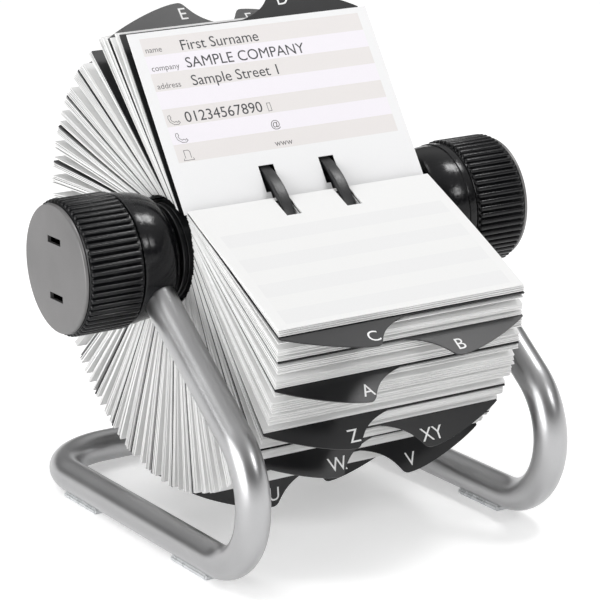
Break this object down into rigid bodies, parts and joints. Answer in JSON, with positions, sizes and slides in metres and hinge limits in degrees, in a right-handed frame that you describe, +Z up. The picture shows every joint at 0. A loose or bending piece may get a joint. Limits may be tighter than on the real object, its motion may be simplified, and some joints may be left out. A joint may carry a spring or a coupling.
{
  "type": "rotary card file",
  "caption": "Desktop rotary card file: a wheel of slotted index cards and lettered dividers on an axle between two ribbed knobs, carried by a bent tube stand.",
  "frame": {"origin": "on the desk, under the middle of the bounding box", "axes": "+X along the axle to the right-hand knob, +Y away from the reader, +Z up"},
  "size_m": [0.192, 0.1937, 0.1947],
  "materials": {
    "satin_tube": "satin silver tube",
    "gloss_black": "glossy black moulding",
    "satin_black": "satin black moulding",
    "grey_cap": "satin silver-grey",
    "bright_steel": "bright",
    "nylon": "natural nylon",
    "clear_pad": "clear soft vinyl",
    "card_paper": "white card with black plastic dividers"
  },
  "bodies": {
    "stand": {"tube_frame": "satin_tube", "left_front_pad": "clear_pad", "right_front_pad": "clear_pad", "left_rear_pad": "clear_pad", "right_rear_pad": "clear_pad", "left_bearing_housing": "gloss_black", "right_bearing_housing": "gloss_black", "left_bearing_bush": "nylon", "right_bearing_bush": "nylon", "left_friction_washer": "nylon", "right_friction_washer": "nylon", "left_tube_screw": "bright_steel", "right_tube_screw": "bright_steel"},
    "wheel": {"axle": "bright_steel", "left_knob_grip": "gloss_black", "right_knob_grip": "gloss_black", "left_knob_cap": "grey_cap", "right_knob_cap": "grey_cap", "left_knob_screw": "bright_steel", "right_knob_screw": "bright_steel", "drum_core": "satin_black", "left_drum_end": "satin_black", "right_drum_end": "satin_black", "left_card_rail": "satin_black", "right_card_rail": "satin_black", "section_D": "card_paper", "section_E": "card_paper", "section_F": "card_paper", "section_G": "card_paper", "section_H": "card_paper", "section_I": "card_paper", "section_J": "card_paper", "section_K": "card_paper", "section_L": "card_paper", "section_M": "card_paper", "section_N": "card_paper", "section_O": "card_paper", "section_P": "card_paper", "section_Q": "card_paper", "section_R": "card_paper", "section_S": "card_paper", "section_T": "card_paper", "section_U": "card_paper", "section_V": "card_paper", "section_W": "card_paper", "section_XY": "card_paper", "section_Z": "card_paper", "section_A": "card_paper", "section_B": "card_paper", "section_C": "card_paper"},
    "reading_card": {"reading_card": "card_paper"}
  },
  "joints": [
    {"name": "wheel_spin", "type": "hinge", "parent": "stand", "child": "wheel", "pos_m": [0, -0.00524, 0.1085], "axis": [1, 0, 0], "continuous": true},
    {"name": "card_flip", "type": "hinge", "parent": "wheel", "child": "reading_card", "pos_m": [0, -0.02181, 0.12819], "axis": [1, 0, 0], "range_deg": [0, 147]}
  ]
}
